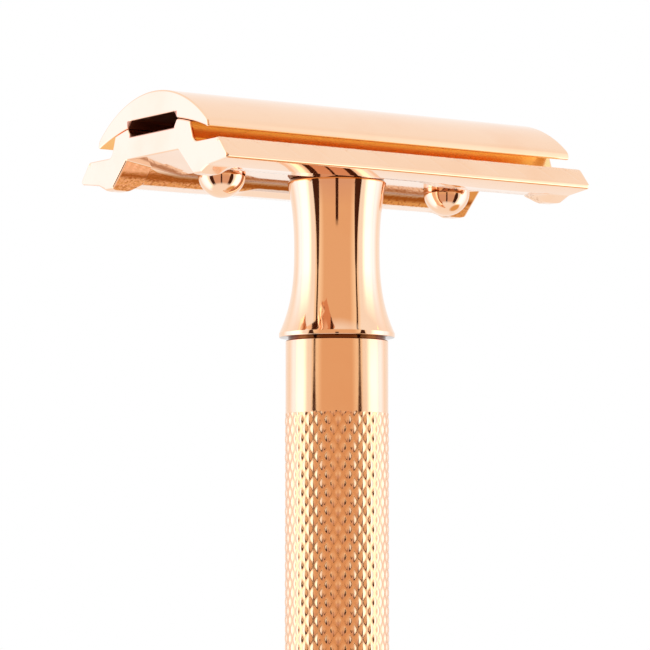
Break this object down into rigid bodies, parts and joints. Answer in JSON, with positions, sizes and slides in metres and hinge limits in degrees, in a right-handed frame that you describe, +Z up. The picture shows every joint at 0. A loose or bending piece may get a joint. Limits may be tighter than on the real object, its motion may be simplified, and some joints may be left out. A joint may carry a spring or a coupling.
{
  "type": "safety razor",
  "caption": "Three-piece double-edge safety razor: curved cap and straight safety bars, clamped without a blade and screwed onto a slim knurled handle with a waisted neck and end knob.",
  "frame": {"origin": "centre of the knob's flat end face, on which the razor stands", "axes": "+Z up the handle to the head, X along the safety bars, Y across the head from bar to bar"},
  "size_m": [0.0428, 0.0264, 0.094],
  "materials": {
    "rose_gold_plate": "polished rose gold plating on brass",
    "screw_steel": "turned stainless steel",
    "bush_brass": "turned bare brass"
  },
  "bodies": {
    "handle": {"neck": "rose_gold_plate", "neck_bush": "bush_brass", "grip_sleeve": "rose_gold_plate", "core_rod": "screw_steel", "end_knob": "rose_gold_plate"},
    "guard": {"base_plate": "rose_gold_plate"},
    "top": {"cap": "rose_gold_plate", "cap_stud": "screw_steel", "post_left": "rose_gold_plate", "post_right": "rose_gold_plate"}
  },
  "joints": [
    {"name": "head_turn", "type": "hinge", "parent": "handle", "child": "guard", "pos_m": [0, 0, 0.087], "axis": [0, 0, 1], "range_deg": [0, 2160]},
    {"name": "cap_lift", "type": "slide", "parent": "guard", "child": "top", "axis": [0, 0, 1], "range_m": [0, 0.0048]}
  ],
  "couplings": [
    {"joint": "cap_lift", "follows": "head_turn", "m_per_rad": 0.00012732}
  ]
}
